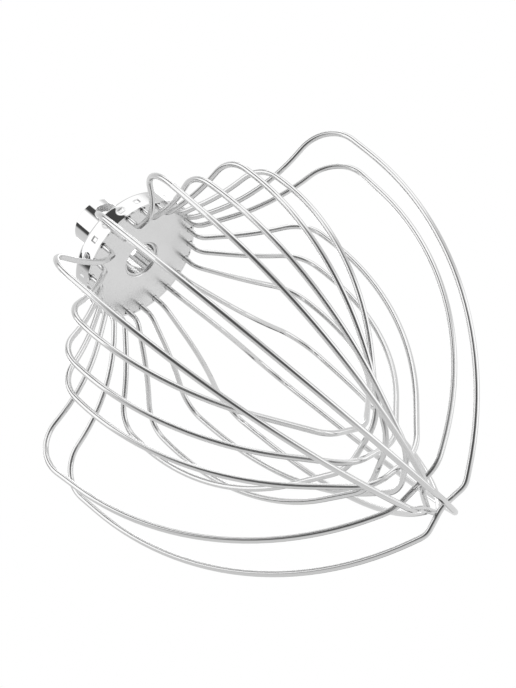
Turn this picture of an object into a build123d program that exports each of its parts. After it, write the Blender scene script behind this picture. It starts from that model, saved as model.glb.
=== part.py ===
from build123d import *
from math import tan, pi
import os

# Wire whisk for a stand mixer, in millimetres.
# Eleven wire loops stand in planes through one axis and cross below the hub.
# Both ends of each loop are trapped between a drawn cap and a notched base plate,
# and a collar in the middle of the cap locks onto the mixer's shaft and its cross pin.
# Frame: the origin is the centre of the collar's mouth and +Z runs up along the shaft.

# Socket for the shaft
shaft_diameter = 12.7
shaft_clearance = 0.1
collar_diameter = 19.5
collar_length = 28.0
mouth_chamfer = 0.6

# Bayonet slot for the shaft's cross pin
pin_diameter = 4.0
pin_clearance = 0.15
slot_drop = 6.0
slot_turn = 72.0
slot_end_azimuth = -64.0

# Drawn cap
hub_diameter = 50.0
cap_height = 8.0
cap_sheet = 0.8
cap_edge_radius = 1.6
braze_gap = 0.05

# Crimp marks on the cap's skirt, one over each wire end
crimp_width = 2.5
crimp_depth = 0.3
crimp_taper = 60.0
crimp_rise = 3.5

# Base plate
plate_thickness = 1.0
plate_gap = 0.05
plate_hole_diameter = 14.4
plate_edge_radius = 0.7

# Wire and the way its ends sit in the hub
wire_diameter = 2.05
wire_gap = 0.1
wire_end_gap = 0.2

# Turn of the hub against the cage of wires, in degrees
hub_turn = 1.1

# Bends that all loops share, measured down from the plate's lower face
stub_drop = 6.0
stub_bend_radius = 6.0
shoulder_drop = 27.5
shoulder_bend_radius = 14.0
base_half_width = 10.0

# Wide loops: where the leg turns outward and how the flank draws in
wide_leg_share = 0.43
wide_leg_drop = 23.2
wide_flank_draw = 10.5
wide_flank_share = 0.73

# Widest loop, with the same four sizes
widest_leg_share = 0.36
widest_leg_drop = 25.0
widest_flank_draw = 5.6
widest_flank_share = 0.73

# Narrow loops, with the same four sizes
narrow_leg_share = 0.49
narrow_leg_drop = 19.2
narrow_flank_draw = -0.3
narrow_flank_share = 0.55

# Base of a loop: pushed in between two tight corners, or plainly rounded
dent_depth = 1.8
dent_bend_radius = 12.0
dent_corner_radius = 6.0
round_corner_radius = 16.0

# Share of the free run that a long arc takes between its two neighbours
arc_share = 0.96

# Reach of each loop at its shoulder corner and drop of its middle
loop_01_reach = 77.5
loop_01_drop = 152.6
loop_02_reach = 72.6
loop_02_drop = 143.3
loop_03_reach = 56.4
loop_03_drop = 133.7
loop_04_reach = 58.0
loop_04_drop = 127.6
loop_05_reach = 55.1
loop_05_drop = 117.7
loop_06_reach = 81.0
loop_06_drop = 149.4
loop_07_reach = 78.4
loop_07_drop = 140.5
loop_08_reach = 57.2
loop_08_drop = 131.2
loop_09_reach = 56.5
loop_09_drop = 122.0
loop_10_reach = 57.7
loop_10_drop = 109.5
loop_11_reach = 81.2
loop_11_drop = 146.2

# Slant and turn, in degrees, of the loops that do not stand quite true below the hub
loop_01_slant = 0.8
loop_01_turn = -1.6
loop_02_turn = 0.3
loop_03_slant = 0.7
loop_04_slant = -1.9
loop_04_turn = 0.6
loop_05_slant = -0.9
loop_05_turn = 1.7
loop_06_slant = 2.0
loop_06_turn = 0.3
loop_07_turn = -0.5
loop_08_turn = 0.7
loop_11_slant = 1.6
loop_11_turn = 1.0

# Every loop in order around the hub
wide = (wide_leg_share, wide_leg_drop, wide_flank_draw, wide_flank_share)
widest = (widest_leg_share, widest_leg_drop, widest_flank_draw, widest_flank_share)
narrow = (narrow_leg_share, narrow_leg_drop, narrow_flank_draw, narrow_flank_share)
loops = [
    # reach, drop, form, dented base, slant, turn
    (loop_01_reach, loop_01_drop, wide, False, loop_01_slant, loop_01_turn),
    (loop_02_reach, loop_02_drop, wide, True, 0, loop_02_turn),
    (loop_03_reach, loop_03_drop, narrow, False, loop_03_slant, 0),
    (loop_04_reach, loop_04_drop, narrow, False, loop_04_slant, loop_04_turn),
    (loop_05_reach, loop_05_drop, narrow, False, loop_05_slant, loop_05_turn),
    (loop_06_reach, loop_06_drop, widest, True, loop_06_slant, loop_06_turn),
    (loop_07_reach, loop_07_drop, wide, False, 0, loop_07_turn),
    (loop_08_reach, loop_08_drop, narrow, False, 0, loop_08_turn),
    (loop_09_reach, loop_09_drop, narrow, False, 0, 0),
    (loop_10_reach, loop_10_drop, narrow, False, 0, 0),
    (loop_11_reach, loop_11_drop, wide, True, loop_11_slant, loop_11_turn),
]

# Sizes that follow from the ones above
hub_radius = hub_diameter / 2
collar_radius = collar_diameter / 2
bore_radius = shaft_diameter / 2 + shaft_clearance
slot_radius = pin_diameter / 2 + pin_clearance
wire_radius = wire_diameter / 2
skirt_inner_radius = hub_radius - cap_sheet
wire_circle_radius = skirt_inner_radius - wire_gap - wire_radius
plate_top = -collar_length
plate_face = plate_top - plate_thickness
cap_top = plate_face + cap_height
cap_inner_edge_radius = cap_edge_radius - cap_sheet / 2
wire_end = cap_top - cap_sheet - cap_inner_edge_radius - wire_end_gap
wire_ends = 2 * len(loops)
first_azimuth = -90 + hub_turn


def make_collar():
    """Tube with the shaft bore, a chamfered mouth and an L-shaped pin slot through its wall."""
    tube = extrude(Circle(collar_radius) - Circle(bore_radius), amount=-collar_length)
    mouth = tube.edges().filter_by(GeomType.CIRCLE).group_by(Axis.Z)[-1]
    tube = chamfer(mouth.sort_by(SortBy.RADIUS)[-1], mouth_chamfer)

    wall = collar_radius - bore_radius
    cut_length = 3 * wall
    cut_middle = (collar_radius + bore_radius) / 2
    leg_section = Plane.XZ * Pos(cut_middle, -slot_drop) * Rectangle(cut_length, 2 * slot_radius)
    leg = revolve(leg_section, Axis.Z, slot_turn)
    round_end = Pos(cut_middle, 0, -slot_drop) * Rot(0, 90, 0) * Cylinder(slot_radius, cut_length)
    entry = Pos(cut_middle, 0, -slot_drop / 2) * Box(cut_length, 2 * slot_radius, slot_drop)
    far_end = Rot(0, 0, slot_turn) * (round_end + entry)
    return tube - Rot(0, 0, slot_end_azimuth) * (leg + round_end + far_end)


def make_cap():
    """Shallow drawn cup around the collar, with a square crimp pressed in over each wire end."""
    hole_radius = collar_radius + braze_gap
    width = hub_radius - hole_radius
    outside = Pos(hole_radius, plate_face) * Rectangle(width, cap_height, align=Align.MIN)
    inside_width = width - cap_sheet
    inside_height = cap_height - cap_sheet
    inside = Pos(hole_radius, plate_face) * Rectangle(inside_width, inside_height, align=Align.MIN)
    outside = fillet(outside.vertices().sort_by(Axis.X)[-2:].sort_by(Axis.Y)[-1], cap_edge_radius)
    inner_corner = inside.vertices().sort_by(Axis.X)[-2:].sort_by(Axis.Y)[-1]
    inside = fillet(inner_corner, cap_inner_edge_radius)
    cup = revolve(Plane.XZ * (outside - inside), Axis.Z)

    press = Plane(origin=(hub_radius, 0, plate_face + crimp_rise), x_dir=(0, 1, 0), z_dir=(1, 0, 0))
    crimp = extrude(press * Rectangle(crimp_width, crimp_width), amount=-crimp_depth, taper=crimp_taper)
    proud = extrude(press * Rectangle(crimp_width, crimp_width), amount=crimp_depth)
    return cup - PolarLocations(0, wire_ends, first_azimuth) * (crimp + proud)


def make_base_plate():
    """Disc inside the cap's skirt, notched at its rim for every wire and open at its centre."""
    rim_radius = skirt_inner_radius - plate_gap
    notch_radius = wire_radius + wire_gap
    notch_length = rim_radius - wire_circle_radius + notch_radius
    notch = Pos(wire_circle_radius) * Circle(notch_radius)
    way_out = Rectangle(notch_length, 2 * notch_radius, align=(Align.MIN, Align.CENTER))
    notch += Pos(wire_circle_radius) * way_out
    disc = Circle(rim_radius) - Circle(plate_hole_diameter / 2)
    disc -= PolarLocations(0, wire_ends, first_azimuth) * notch
    plate = extrude(Pos(0, 0, plate_face) * disc, amount=plate_thickness)
    face = plate.faces().sort_by(Axis.Z)[0]
    return fillet(face.inner_wires()[0].edges(), plate_edge_radius)


def half_turn_tangent(before, corner, after):
    """Tangent of half the turn that a path makes at a corner."""
    turn = (corner - before).get_angle(after - corner)
    return tan(turn * pi / 360)


def loop_path(reach, drop, form, dented, slant, turn):
    """Centre line of one loop, measured from the plate's lower face: straight runs and tangent arcs."""
    leg_share, leg_drop, flank_draw, flank_share = form
    corner_drop = drop + dent_depth if dented else drop
    corner_radius = dent_corner_radius if dented else round_corner_radius
    leg_reach = wire_circle_radius + leg_share * (reach - wire_circle_radius)
    flank_drop = shoulder_drop + flank_share * (corner_drop - shoulder_drop)

    start = Vector(wire_circle_radius, 0, wire_end - plate_face)
    stub = Vector(wire_circle_radius, 0, -stub_drop)
    leg = Vector(leg_reach, 0, -leg_drop)
    shoulder = Vector(reach, 0, -shoulder_drop)
    flank = Vector(reach - flank_draw, 0, -flank_drop)
    corner = Vector(base_half_width, 0, -corner_drop)
    middle = Vector(0, 0, -drop)

    # The two long arcs take the runs that the three bends beside them leave free
    stub_run = stub_bend_radius * half_turn_tangent(start, stub, leg)
    shoulder_run = shoulder_bend_radius * half_turn_tangent(leg, shoulder, flank)
    corner_run = corner_radius * half_turn_tangent(flank, corner, middle)
    leg_run = min((leg - stub).length - stub_run, (shoulder - leg).length - shoulder_run)
    flank_run = min((flank - shoulder).length - shoulder_run, (corner - flank).length - corner_run)
    leg_radius = arc_share * leg_run / half_turn_tangent(stub, leg, shoulder)
    flank_radius = arc_share * flank_run / half_turn_tangent(shoulder, flank, corner)

    half_radii = [stub_bend_radius, leg_radius, shoulder_bend_radius, flank_radius, corner_radius]
    half = [leg, shoulder, flank, corner]
    other_half = [Vector(-point.X, 0, point.Z) for point in reversed(half)]
    if dented:
        cage = half + [middle] + other_half
        radii = half_radii + [dent_bend_radius] + half_radii[::-1]
    else:
        cage = half + other_half
        radii = half_radii + half_radii[::-1]

    # All but the two straight ends in the hub slants and turns as one
    cage = [point.rotate(Axis.X, slant).rotate(Axis.Z, turn - hub_turn) for point in cage]
    far_end = [Vector(-point.X, 0, point.Z) for point in (stub, start)]
    return FilletPolyline(start, stub, *cage, *far_end, radius=radii)


def make_loop(*loop):
    """Round wire swept along one loop's centre line."""
    path = loop_path(*loop)
    section = Plane(origin=path @ 0, z_dir=path % 0) * Circle(wire_radius)
    return sweep(section, path=path)


def main():
    nodes = {
        "drive_collar": make_collar(),
        "crimped_cap": make_cap(),
        "base_plate": make_base_plate(),
    }
    for index, loop in enumerate(loops):
        azimuth = first_azimuth + index * 360 / wire_ends
        place = Pos(0, 0, plate_face) * Rot(0, 0, azimuth)
        nodes[f"wire_loop_{index + 1:02d}"] = place * make_loop(*loop)

    os.makedirs("parts", exist_ok=True)
    for name, solid in nodes.items():
        export_step(solid, f"parts/{name}.step")


main()
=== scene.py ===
import bpy
import numpy as np
from mathutils import Matrix, Vector


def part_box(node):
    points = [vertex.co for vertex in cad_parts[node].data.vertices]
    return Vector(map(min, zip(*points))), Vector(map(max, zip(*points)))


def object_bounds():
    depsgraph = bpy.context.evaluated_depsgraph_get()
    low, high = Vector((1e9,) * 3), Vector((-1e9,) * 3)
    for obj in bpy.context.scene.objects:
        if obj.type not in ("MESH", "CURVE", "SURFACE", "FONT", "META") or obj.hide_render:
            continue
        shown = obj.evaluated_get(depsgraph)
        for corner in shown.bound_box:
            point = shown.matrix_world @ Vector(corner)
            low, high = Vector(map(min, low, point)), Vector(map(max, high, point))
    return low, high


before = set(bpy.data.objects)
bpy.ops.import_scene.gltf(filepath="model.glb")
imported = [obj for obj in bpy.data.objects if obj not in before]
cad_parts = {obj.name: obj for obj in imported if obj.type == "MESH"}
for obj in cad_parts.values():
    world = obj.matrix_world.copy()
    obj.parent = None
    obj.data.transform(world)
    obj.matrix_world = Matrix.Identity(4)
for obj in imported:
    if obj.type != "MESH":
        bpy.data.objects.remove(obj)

bl_info = {
    "name": "Wire whisk dressing",
    "version": (1, 0, 0),
    "blender": (4, 5, 0),
    "location": "View3D > Sidebar > Whisk",
    "description": "Gives a stand mixer's wire whisk its metal finishes, its studio and its camera",
    "category": "Object",
}

MM = 0.001
CAD_BOX = [list(corner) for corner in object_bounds()]
PART_MIDDLE = (np.array(CAD_BOX[0]) + np.array(CAD_BOX[1])) / 2
COLLAR_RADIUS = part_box("drive_collar")[1][0]
CAP_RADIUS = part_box("crimped_cap")[1][0]
CAP_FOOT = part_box("crimped_cap")[0][2]
WIRES = sorted(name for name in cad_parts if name.startswith("wire_loop_"))
CRIMP_PITCH = np.pi / len(WIRES)

# A die line is drawn out along the wire, and a cloud of polish is as wide as so many lines
LINE_SQUEEZE = 0.06
LINES_IN_CLOUD = 30

# Shares of a crimp's width, from its middle: where the drawn bowl starts, the press tool's line,
# and that line's half width, full and faded out
BOWL_START = 0.4
PRESS_LINE = 0.42
PRESS_LINE_FULL = 0.06
PRESS_LINE_FADED = 0.1

# Radii of the collar: where the bore's wall ends, where the slot's walls start and end, and its skin
BORE_END = 0.67 * COLLAR_RADIUS
CUT_START = 0.7 * COLLAR_RADIUS
CUT_END = 0.95 * COLLAR_RADIUS
SKIN_START = 0.99 * COLLAR_RADIUS

# Bands in one metre of Blender's wave texture at a scale of 1
WAVE_BANDS = 20 / (2 * np.pi)

# Points of the stage's grids, and the name and shortest run of a card's fade, in degrees
FLOOR_TURNS = 65
FLOOR_RINGS = 31
CARD_COLUMNS = 97
CARD_ROWS = 65
FADE = "fade"
SHARP = (1, 1, 1, 1)
WHITE = (1, 1, 1)


def linear(code):
    """Linear red, green and blue of an sRGB hex colour: the sRGB curve undone on each channel."""
    channels = np.array([int(code[i:i + 2], 16) for i in (1, 3, 5)]) / 255
    low = channels / 12.92
    high = ((channels + 0.055) / 1.055) ** 2.4
    return tuple(np.where(channels <= 0.04045, low, high).tolist())


def add_node(tree, kind, inputs=None, **settings):
    """Adds one node, sets its own settings, and fills its inputs with values or links."""
    made = tree.nodes.new(kind)
    for name, value in settings.items():
        setattr(made, name, value)
    for socket, value in (inputs or {}).items():
        if isinstance(value, bpy.types.NodeSocket):
            tree.links.new(value, made.inputs[socket])
        else:
            made.inputs[socket].default_value = value
    return made


def new_material(name):
    """An empty node material, with its tree and its output node."""
    material = bpy.data.materials.new(name)
    material.use_nodes = True
    tree = material.node_tree
    tree.nodes.clear()
    return material, tree, add_node(tree, "ShaderNodeOutputMaterial")


def per_metre(size):
    """Noise scale that puts one feature into a given length in metres."""
    return 1 / size


def give(material, *nodes):
    """Puts a material into the slot of each named CAD node."""
    for name in nodes:
        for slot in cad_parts[name].material_slots:
            slot.material = material


def grid_mesh(name, points):
    """Mesh of a grid of points, rows by columns by three, with one quad between each four neighbours."""
    rows, columns = points.shape[:2]
    index = np.arange(rows * columns).reshape(rows, columns)
    corners = [index[:-1, :-1], index[:-1, 1:], index[1:, 1:], index[1:, :-1]]
    quads = np.stack([corner.ravel() for corner in corners], axis=1)
    mesh = bpy.data.meshes.new(name)
    mesh.from_pydata(points.reshape(-1, 3).tolist(), [], quads.tolist())
    made = bpy.data.objects.new(name, mesh)
    bpy.context.scene.collection.objects.link(made)
    return made


class WhiskFinishes(bpy.types.PropertyGroup):
    """Colours and surface sizes of the whisk's metals"""

    wire_colour: bpy.props.FloatVectorProperty(
        name="Wire", description="Colour of the drawn wire", subtype="COLOR",
        default=linear("#E7E7E7"), min=0, max=1)
    cap_colour: bpy.props.FloatVectorProperty(
        name="Cap", description="Colour of the plated cap", subtype="COLOR",
        default=linear("#EBEBEB"), min=0, max=1)
    collar_colour: bpy.props.FloatVectorProperty(
        name="Collar", description="Colour of the turned collar", subtype="COLOR",
        default=linear("#EBEBEB"), min=0, max=1)
    plate_colour: bpy.props.FloatVectorProperty(
        name="Plate", description="Colour of the satin plate", subtype="COLOR",
        default=linear("#EDEDED"), min=0, max=1)
    die_line: bpy.props.FloatProperty(
        name="Die line", description="Width of a line that the drawing die leaves on the wire",
        unit="LENGTH", default=0.35 * MM)
    press_ripple: bpy.props.FloatProperty(
        name="Press ripple", description="Width of the soft ripple in the pressed sheet",
        unit="LENGTH", default=4.0 * MM)
    crimp_width: bpy.props.FloatProperty(
        name="Crimp width", description="Width of a crimp in the cap's skirt",
        unit="LENGTH", default=2.5 * MM)
    crimp_rise: bpy.props.FloatProperty(
        name="Crimp rise", description="Height of a crimp's middle above the skirt's lower edge",
        unit="LENGTH", default=3.5 * MM)
    crimp_turn: bpy.props.FloatProperty(
        name="Crimp turn", description="Turn of the first crimp from the front", subtype="ANGLE",
        default=float(np.radians(1.1)))
    crimp_bowl: bpy.props.FloatProperty(
        name="Crimp bowl", description="Depth to which the sheet is drawn in round a crimp",
        unit="LENGTH", default=0.08 * MM)
    turning_pitch: bpy.props.FloatProperty(
        name="Turning pitch", description="Height of one ring that the lathe tool leaves on the collar",
        unit="LENGTH", default=2.513 * MM)
    satin_grain: bpy.props.FloatProperty(
        name="Satin grain", description="Width of the blasted grain on the plate",
        unit="LENGTH", default=0.3 * MM)


class WhiskStudio(bpy.types.PropertyGroup):
    """Floor, light, paper tent, cards and camera"""

    floor_colour: bpy.props.FloatVectorProperty(
        name="Floor", description="Colour of the floor", subtype="COLOR",
        default=linear("#ECECEC"), min=0, max=1)
    floor_height: bpy.props.FloatProperty(
        name="Floor height", description="Height of the floor, below the hanging whisk",
        unit="LENGTH", default=-1.15)
    floor_radius: bpy.props.FloatProperty(
        name="Floor radius", description="Radius of the round floor", unit="LENGTH", default=30.0)
    roller_grain: bpy.props.FloatProperty(
        name="Roller grain", description="Width of the stipple that a roller leaves in the floor's paint",
        unit="LENGTH", default=8.333 * MM)
    front_colour: bpy.props.FloatVectorProperty(
        name="Front card", description="Colour of the soft card that draws dark lines along the wires",
        subtype="COLOR", default=linear("#545454"), min=0, max=1)
    card_colour: bpy.props.FloatVectorProperty(
        name="Dark cards", description="Colour of the cards that draw dark bars in the collar",
        subtype="COLOR", default=linear("#484848"), min=0, max=1)
    tent_colour: bpy.props.FloatVectorProperty(
        name="Tent", description="Colour of the paper tent that the metal mirrors", subtype="COLOR",
        default=linear("#D8D8D8"), min=0, max=1)
    tent_back_colour: bpy.props.FloatVectorProperty(
        name="Tent behind", description="Colour of the tent's paler side, behind the whisk",
        subtype="COLOR", default=linear("#E6E6E6"), min=0, max=1)
    tent_distance: bpy.props.FloatProperty(
        name="Tent distance", description="Distance of the paper tent from the whisk",
        unit="LENGTH", default=1.0)
    card_distance: bpy.props.FloatProperty(
        name="Card distance", description="Distance of lamps and cards from the whisk",
        unit="LENGTH", default=0.9)
    fill_light: bpy.props.FloatProperty(
        name="Fill light", description="Strength of the even light from all round", default=1.0)
    lamp_light: bpy.props.FloatProperty(
        name="Lamp light", description="Brightness of the soft lamps and white cards, where 1 is white",
        default=1.25)
    backdrop_light: bpy.props.FloatProperty(
        name="Backdrop light", default=3.0,
        description="Brightness of the lit strip that the bore mirrors, where 1 is white")
    camera_place: bpy.props.FloatVectorProperty(
        name="Camera", description="Place of the camera", subtype="TRANSLATION", unit="LENGTH",
        default=(-21.57 * MM, -396.07 * MM, -327.56 * MM))
    camera_aim: bpy.props.FloatVectorProperty(
        name="Aim", description="Point that the camera looks at", subtype="TRANSLATION", unit="LENGTH",
        default=(3.25 * MM, -0.2 * MM, -90.82 * MM))
    camera_roll: bpy.props.FloatProperty(
        name="Roll", description="Lean of the camera's top to its right", subtype="ANGLE",
        default=float(np.radians(50.55)))
    camera_lens: bpy.props.FloatProperty(
        name="Lens", description="Focal length over a sensor of 36 mm", default=69.6)


class WHISK_OT_finish_wires(bpy.types.Operator):
    """Gives the eleven wire loops the finish of bright drawn wire"""

    bl_idname = "whisk.finish_wires"
    bl_label = "Finish wire loops"

    def execute(self, context):
        look = context.scene.whisk_finishes
        # Stainless steel wire, drawn through a die and electropolished.
        # The eye gets a near mirror with hair lines along the wire, most of which runs up and down.
        # Real die lines are finer than a hundredth of a millimetre, so they are drawn coarser, to show.
        material, tree, output = new_material("stainless_wire_bright_drawn")
        place = add_node(tree, "ShaderNodeTexCoord").outputs["Object"]
        along = add_node(tree, "ShaderNodeMapping", {"Vector": place, "Scale": (1, 1, LINE_SQUEEZE)})
        lines = add_node(tree, "ShaderNodeTexNoise", {
            "Vector": along.outputs["Vector"], "Scale": per_metre(look.die_line), "Detail": 3.0})
        cloud = add_node(tree, "ShaderNodeTexNoise", {
            "Vector": place, "Scale": per_metre(LINES_IN_CLOUD * look.die_line), "Detail": 2.0})
        rough = add_node(tree, "ShaderNodeMapRange", {
            "Value": cloud.outputs["Fac"], "From Min": 0.3, "From Max": 0.7,
            "To Min": 0.11, "To Max": 0.14})
        bump = add_node(tree, "ShaderNodeBump", {
            "Height": lines.outputs["Fac"], "Strength": 0.01, "Distance": 0.02 * MM})
        shader = add_node(tree, "ShaderNodeBsdfPrincipled", {
            "Base Color": (*look.wire_colour, 1), "Metallic": 1.0, "Roughness": rough.outputs["Result"],
            "Normal": bump.outputs["Normal"]})
        tree.links.new(shader.outputs["BSDF"], output.inputs["Surface"])
        give(material, *WIRES)
        return {"FINISHED"}


class WHISK_OT_finish_cap(bpy.types.Operator):
    """Gives the crimped cap the finish of plated sheet"""

    bl_idname = "whisk.finish_cap"
    bl_label = "Finish crimped cap"

    def execute(self, context):
        look = context.scene.whisk_finishes
        # Steel sheet, drawn into a cup, polished and chromium plated.
        # The eye gets a clear mirror that the press left very slightly wavy.
        material, tree, output = new_material("chromium_plate_on_drawn_sheet")
        place = add_node(tree, "ShaderNodeTexCoord").outputs["Object"]
        wave = add_node(tree, "ShaderNodeTexNoise", {
            "Vector": place, "Scale": per_metre(look.press_ripple), "Detail": 1.0})
        polish = add_node(tree, "ShaderNodeMapRange", {
            "Value": wave.outputs["Fac"], "From Min": 0.3, "From Max": 0.7,
            "To Min": 0.03, "To Max": 0.06})
        # Way from the nearest crimp: along the skirt by the angle about the axis, and up it.
        axes = add_node(tree, "ShaderNodeSeparateXYZ", {"Vector": place}).outputs
        angle = add_node(tree, "ShaderNodeMath", {0: axes["Y"], 1: axes["X"]}, operation="ARCTAN2")
        angle = add_node(tree, "ShaderNodeMath", {
            0: angle.outputs["Value"], 1: np.pi / 2 - look.crimp_turn}, operation="ADD")
        angle = add_node(tree, "ShaderNodeMath", {
            0: angle.outputs["Value"], 1: CRIMP_PITCH / 2}, operation="PINGPONG")
        along = add_node(tree, "ShaderNodeMath", {
            0: angle.outputs["Value"], 1: CAP_RADIUS}, operation="MULTIPLY")
        up = add_node(tree, "ShaderNodeMath", {
            0: axes["Z"], 1: CAP_FOOT + look.crimp_rise}, operation="SUBTRACT")
        up = add_node(tree, "ShaderNodeMath", {0: up.outputs["Value"]}, operation="ABSOLUTE")
        # The press drew the sheet in round each crimp, so the mirror bends there.
        way = add_node(tree, "ShaderNodeCombineXYZ", {
            "X": along.outputs["Value"], "Y": up.outputs["Value"]})
        way = add_node(tree, "ShaderNodeVectorMath", {0: way.outputs["Vector"]}, operation="LENGTH")
        bowl = add_node(tree, "ShaderNodeMapRange", {
            "Value": way.outputs["Value"], "From Min": BOWL_START * look.crimp_width,
            "From Max": look.crimp_width}, interpolation_type="SMOOTHSTEP")
        # The press tool's edge left a dull line round each crimp.
        square = add_node(tree, "ShaderNodeMath", {
            0: along.outputs["Value"], 1: up.outputs["Value"]}, operation="MAXIMUM")
        edge = add_node(tree, "ShaderNodeMath", {
            0: square.outputs["Value"], 1: PRESS_LINE * look.crimp_width}, operation="SUBTRACT")
        edge = add_node(tree, "ShaderNodeMath", {0: edge.outputs["Value"]}, operation="ABSOLUTE")
        rough = add_node(tree, "ShaderNodeMapRange", {
            "Value": edge.outputs["Value"], "From Min": PRESS_LINE_FULL * look.crimp_width,
            "From Max": PRESS_LINE_FADED * look.crimp_width,
            "To Min": 0.4, "To Max": polish.outputs["Result"]})
        bump = add_node(tree, "ShaderNodeBump", {
            "Height": wave.outputs["Fac"], "Strength": 0.05, "Distance": 0.1 * MM})
        bump = add_node(tree, "ShaderNodeBump", {
            "Height": bowl.outputs["Result"], "Strength": 1.0, "Distance": look.crimp_bowl,
            "Normal": bump.outputs["Normal"]})
        shader = add_node(tree, "ShaderNodeBsdfPrincipled", {
            "Base Color": (*look.cap_colour, 1), "Metallic": 1.0, "Roughness": rough.outputs["Result"],
            "Normal": bump.outputs["Normal"]})
        tree.links.new(shader.outputs["BSDF"], output.inputs["Surface"])
        give(material, "crimped_cap")
        return {"FINISHED"}


class WHISK_OT_finish_collar(bpy.types.Operator):
    """Gives the drive collar the finish of turned and plated steel"""

    bl_idname = "whisk.finish_collar"
    bl_label = "Finish drive collar"

    def execute(self, context):
        look = context.scene.whisk_finishes
        # Steel bar, turned on a lathe and chromium plated.
        # The eye gets a mirror with faint rings round the axis, as the tool leaves them.
        # A real finishing cut feeds about a tenth of a millimetre, so the rings are drawn far coarser,
        # to show.
        material, tree, output = new_material("chromium_plate_on_turned_steel")
        place = add_node(tree, "ShaderNodeTexCoord").outputs["Object"]
        rings = add_node(tree, "ShaderNodeTexWave", {
            "Vector": place, "Scale": per_metre(look.turning_pitch) / WAVE_BANDS, "Distortion": 0.3},
            wave_type="BANDS", bands_direction="Z")
        polish = add_node(tree, "ShaderNodeMapRange", {
            "Value": rings.outputs["Fac"], "To Min": 0.03, "To Max": 0.06})
        # The slot's walls keep the matt grey of the cutting tool; the bore inside them is reamed smooth.
        across = add_node(tree, "ShaderNodeVectorMath", {0: place, 1: (1, 1, 0)}, operation="MULTIPLY")
        radius = add_node(tree, "ShaderNodeVectorMath", {
            0: across.outputs["Vector"]}, operation="LENGTH")
        wall = add_node(tree, "ShaderNodeMapRange", {
            "Value": radius.outputs["Value"], "From Min": BORE_END, "From Max": CUT_START,
            "To Min": 0.04, "To Max": 0.4})
        rough = add_node(tree, "ShaderNodeMapRange", {
            "Value": radius.outputs["Value"], "From Min": CUT_END, "From Max": SKIN_START,
            "To Min": wall.outputs["Result"], "To Max": polish.outputs["Result"]})
        bump = add_node(tree, "ShaderNodeBump", {
            "Height": rings.outputs["Fac"], "Strength": 0.04, "Distance": 0.01 * MM})
        # Plating reaches only a little way into the bore, so its mirror is dulled by bare grey steel.
        plated = add_node(tree, "ShaderNodeMapRange", {
            "Value": radius.outputs["Value"], "From Min": BORE_END, "From Max": CUT_START,
            "To Min": 0.8, "To Max": 1.0})
        shader = add_node(tree, "ShaderNodeBsdfPrincipled", {
            "Base Color": (*look.collar_colour, 1), "Metallic": plated.outputs["Result"],
            "Roughness": rough.outputs["Result"], "Normal": bump.outputs["Normal"]})
        tree.links.new(shader.outputs["BSDF"], output.inputs["Surface"])
        give(material, "drive_collar")
        return {"FINISHED"}


class WHISK_OT_finish_plate(bpy.types.Operator):
    """Gives the base plate the finish of satin sheet"""

    bl_idname = "whisk.finish_plate"
    bl_label = "Finish base plate"

    def execute(self, context):
        look = context.scene.whisk_finishes
        # Stainless sheet, blanked and glass bead blasted to a fine satin.
        # The eye gets an even pale grey in which the wires show only as soft smears.
        # Real bead marks are about a twentieth of a millimetre across, so the grain is drawn coarser,
        # to show.
        material, tree, output = new_material("stainless_sheet_satin_blasted")
        place = add_node(tree, "ShaderNodeTexCoord").outputs["Object"]
        grain = add_node(tree, "ShaderNodeTexNoise", {
            "Vector": place, "Scale": per_metre(look.satin_grain), "Detail": 2.0})
        rough = add_node(tree, "ShaderNodeMapRange", {
            "Value": grain.outputs["Fac"], "From Min": 0.3, "From Max": 0.7,
            "To Min": 0.23, "To Max": 0.26})
        bump = add_node(tree, "ShaderNodeBump", {
            "Height": grain.outputs["Fac"], "Strength": 0.02, "Distance": 0.02 * MM})
        shader = add_node(tree, "ShaderNodeBsdfPrincipled", {
            "Base Color": (*look.plate_colour, 1), "Metallic": 1.0, "Roughness": rough.outputs["Result"],
            "Normal": bump.outputs["Normal"]})
        tree.links.new(shader.outputs["BSDF"], output.inputs["Surface"])
        give(material, "base_plate")
        return {"FINISHED"}


def studio_point(azimuth, elevation, distance):
    """Point at a distance from the part's middle, turned by the azimuth about the upright and raised by
    the elevation, both in degrees; azimuth 0 is the side of the camera and grows towards +X."""
    a, e = np.radians(azimuth), np.radians(elevation)
    way = np.stack([np.cos(e) * np.sin(a), -np.cos(e) * np.cos(a), np.sin(e)], axis=-1)
    return PART_MIDDLE + distance * way


def glowing(name, colour, strength=1.0):
    """Material that only glows, for what the metal mirrors, and is clear where its mesh fades out."""
    material, tree, output = new_material(name)
    glow = add_node(tree, "ShaderNodeEmission", {"Color": (*colour, 1), "Strength": strength})
    clear = add_node(tree, "ShaderNodeBsdfTransparent")
    fade = add_node(tree, "ShaderNodeAttribute", attribute_name=FADE)
    mixed = add_node(tree, "ShaderNodeMixShader", {
        0: fade.outputs["Fac"], 1: clear.outputs["BSDF"], 2: glow.outputs["Emission"]})
    tree.links.new(mixed.outputs["Shader"], output.inputs["Surface"])
    return material


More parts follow.
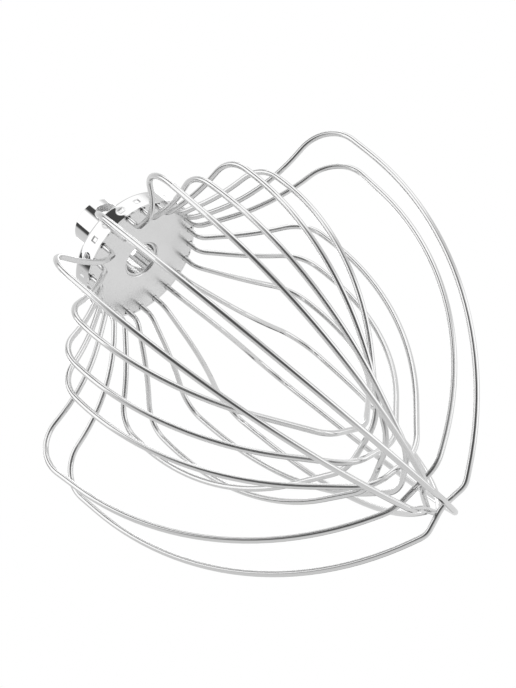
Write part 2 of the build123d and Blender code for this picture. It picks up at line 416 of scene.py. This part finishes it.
def studio_card(name, azimuths, elevations, distance, material, fades=SHARP):
    """Card bent round the part: azimuth and elevation run evenly over a patch of a sphere about it.
    It fades out over the given degrees at its first and last azimuth and its lower and upper edge,
    by the product of four smooth steps, each 3 s squared less 2 s cubed of the share s of its degrees.
    Only mirror rays see it, so it draws its shape in the metal and leaves floor and background alone."""
    a, e = np.meshgrid(np.linspace(*azimuths, CARD_COLUMNS), np.linspace(*elevations, CARD_ROWS))
    card = grid_mesh(name, studio_point(a, e, distance))
    edges = [a - azimuths[0], azimuths[1] - a, e - elevations[0], elevations[1] - e]
    shares = [(edge / fade).clip(0, 1) for edge, fade in zip(edges, fades)]
    steps = [share * share * (3 - 2 * share) for share in shares]
    fade = card.data.attributes.new(FADE, "FLOAT", "POINT")
    fade.data.foreach_set("value", np.prod(steps, axis=0).ravel())
    card.data.materials.append(material)
    card.visible_camera = False
    card.visible_diffuse = False
    card.visible_shadow = False


def soft_lamp(name, azimuth, elevation, width, height, studio):
    """Oblong lamp that faces the part; its power is its brightness times pi times its own area."""
    data = bpy.data.lights.new(name, "AREA")
    data.shape = "RECTANGLE"
    data.size, data.size_y = width, height
    data.energy = studio.lamp_light * np.pi * width * height
    lamp = bpy.data.objects.new(name, data)
    lamp.location = studio_point(azimuth, elevation, studio.card_distance)
    lamp.rotation_mode = "QUATERNION"
    lamp.rotation_quaternion = (Vector(PART_MIDDLE) - lamp.location).to_track_quat("-Z", "Y")
    lamp.visible_camera = False
    lamp.visible_glossy = False
    bpy.context.scene.collection.objects.link(lamp)


class WHISK_OT_set_stage(bpy.types.Operator):
    """Makes the floor, the light, the paper tent with its cards and the camera"""

    bl_idname = "whisk.set_stage"
    bl_label = "Set stage"

    def execute(self, context):
        scene = context.scene
        studio = scene.whisk_studio
        scene.view_settings.view_transform = "Standard"

        # Even light from all round; camera, mirror and glass rays meet plain white, whatever its strength.
        world = bpy.data.worlds.new("white_room")
        world.use_nodes = True
        scene.world = world
        tree = world.node_tree
        tree.nodes.clear()
        rays = add_node(tree, "ShaderNodeLightPath").outputs
        seen = add_node(tree, "ShaderNodeMath", {0: rays["Is Camera Ray"], 1: rays["Is Glossy Ray"]},
                        operation="ADD")
        seen = add_node(tree, "ShaderNodeMath", {
            0: seen.outputs["Value"], 1: rays["Is Transmission Ray"]}, operation="ADD", use_clamp=True)
        fill = add_node(tree, "ShaderNodeBackground", {
            "Color": (*WHITE, 1), "Strength": studio.fill_light})
        white = add_node(tree, "ShaderNodeBackground", {"Color": (*WHITE, 1), "Strength": 1.0})
        mixed = add_node(tree, "ShaderNodeMixShader", {
            0: seen.outputs["Value"], 1: fill.outputs["Background"], 2: white.outputs["Background"]})
        add_node(tree, "ShaderNodeOutputWorld", {"Surface": mixed.outputs["Shader"]})

        # Matt paint, rolled on: the floor far below the whisk, a round disc of rings and rays.
        # The eye gets an even pale grey; the roller's stipple is drawn coarser than real, to show.
        paint, tree, output = new_material("matt_floor_paint")
        place = add_node(tree, "ShaderNodeTexCoord").outputs["Object"]
        roller = add_node(tree, "ShaderNodeTexNoise", {
            "Vector": place, "Scale": per_metre(studio.roller_grain), "Detail": 2.0})
        bump = add_node(tree, "ShaderNodeBump", {
            "Height": roller.outputs["Fac"], "Strength": 0.05, "Distance": 1.0 * MM})
        shader = add_node(tree, "ShaderNodeBsdfPrincipled", {
            "Base Color": (*studio.floor_colour, 1), "Roughness": 0.9, "Normal": bump.outputs["Normal"]})
        tree.links.new(shader.outputs["BSDF"], output.inputs["Surface"])
        turns = np.linspace(0, 2 * np.pi, FLOOR_TURNS)
        turn, radius = np.meshgrid(turns, np.linspace(0, studio.floor_radius, FLOOR_RINGS))
        disc = np.stack([radius * np.cos(turn), radius * np.sin(turn),
                         np.full_like(turn, studio.floor_height)], axis=-1)
        floor = grid_mesh("floor", disc)
        floor.data.materials.append(paint)

        # Pale paper tent round everything, and dark and white cards in front of it: the front card draws
        # the dark lines along the wires, the right and left ones the dark bars in collar and cap, the back
        # one does so for the far side, and the lit strip of the backdrop shows in the bore.
        paper = glowing("tent_paper", studio.tent_colour)
        white_paper = glowing("white_tent_paper", studio.tent_back_colour)
        felt = glowing("dark_felt", studio.card_colour)
        grey_felt = glowing("grey_felt", studio.front_colour)
        white_card = glowing("white_card", WHITE, studio.lamp_light)
        backdrop = glowing("lit_backdrop", WHITE, studio.backdrop_light)
        far = studio.card_distance
        studio_card("tent", (-181, 181), (-91, 91), studio.tent_distance, paper)
        studio_card("tent_back", (84, 276), (-91, 91), 0.98 * studio.tent_distance, white_paper,
                    fades=(50, 70, 1, 1))
        studio_card("card_front", (-48, 48), (-74, 22), 0.36 * far, grey_felt, fades=(32, 24, 36, 20))
        studio_card("backdrop", (122, 218), (38, 45), far, backdrop, fades=(4, 4, 2, 2))
        studio_card("card_back", (194, 224), (-44, 16), far, felt, fades=(12, 12, 16, 14))
        studio_card("card_right", (0, 36), (24, 72), far, felt, fades=(16, 1, 1, 1))
        studio_card("card_left", (-86, -60), (32, 58), far, felt, fades=(12, 1, 6, 6))
        studio_card("softbox_left", (-62, 18), (20, 68), 1.05 * far, white_card, fades=(1, 1, 1, 8))
        studio_card("softbox_right", (35, 106), (3, 62), 0.95 * far, white_card, fades=(5, 28, 6, 10))
        studio_card("softbox_low", (46, 118), (-58, -8), far, white_card, fades=(16, 8, 8, 8))

        soft_lamp("lamp_left", -26, 42, width=0.8, height=0.62, studio=studio)
        soft_lamp("lamp_right", 64, 28, width=0.78, height=0.76, studio=studio)

        # Camera: its top leans from straight up towards its right by the roll.
        place, aim = Vector(studio.camera_place), Vector(studio.camera_aim)
        ahead = (aim - place).normalized()
        level = ahead.cross(Vector((0, 0, 1))).normalized()
        upright = level.cross(ahead)
        top = np.cos(studio.camera_roll) * upright + np.sin(studio.camera_roll) * level
        right = ahead.cross(top)
        data = bpy.data.cameras.new("photo_camera")
        data.lens = studio.camera_lens
        data.clip_start = 10 * MM
        camera = bpy.data.objects.new("photo_camera", data)
        turned = Matrix((right, top, -ahead)).transposed().to_4x4()
        camera.matrix_world = Matrix.Translation(place) @ turned
        scene.collection.objects.link(camera)
        scene.camera = camera
        return {"FINISHED"}


class WHISK_PT_sidebar(bpy.types.Panel):
    """Lists the whisk's finishes and its stage"""

    bl_idname = "WHISK_PT_sidebar"
    bl_label = "Wire whisk"
    bl_space_type = "VIEW_3D"
    bl_region_type = "UI"
    bl_category = "Whisk"

    def draw(self, context):
        for group in (context.scene.whisk_finishes, context.scene.whisk_studio):
            box = self.layout.box()
            for name in group.bl_rna.properties.keys():
                if name not in ("rna_type", "name"):
                    box.prop(group, name)
        for operator in STEPS:
            self.layout.operator(operator.bl_idname)


GROUPS = (WhiskFinishes, WhiskStudio)
STEPS = (WHISK_OT_finish_wires, WHISK_OT_finish_cap, WHISK_OT_finish_collar, WHISK_OT_finish_plate,
         WHISK_OT_set_stage)
CLASSES = (*GROUPS, *STEPS, WHISK_PT_sidebar)


def register():
    for made in CLASSES:
        bpy.utils.register_class(made)
    bpy.types.Scene.whisk_finishes = bpy.props.PointerProperty(type=WhiskFinishes)
    bpy.types.Scene.whisk_studio = bpy.props.PointerProperty(type=WhiskStudio)


def unregister():
    del bpy.types.Scene.whisk_studio
    del bpy.types.Scene.whisk_finishes
    for made in reversed(CLASSES):
        bpy.utils.unregister_class(made)


def main():
    register()
    bpy.ops.whisk.finish_wires()
    bpy.ops.whisk.finish_cap()
    bpy.ops.whisk.finish_collar()
    bpy.ops.whisk.finish_plate()
    bpy.ops.whisk.set_stage()


if __name__ == "__main__":
    main()
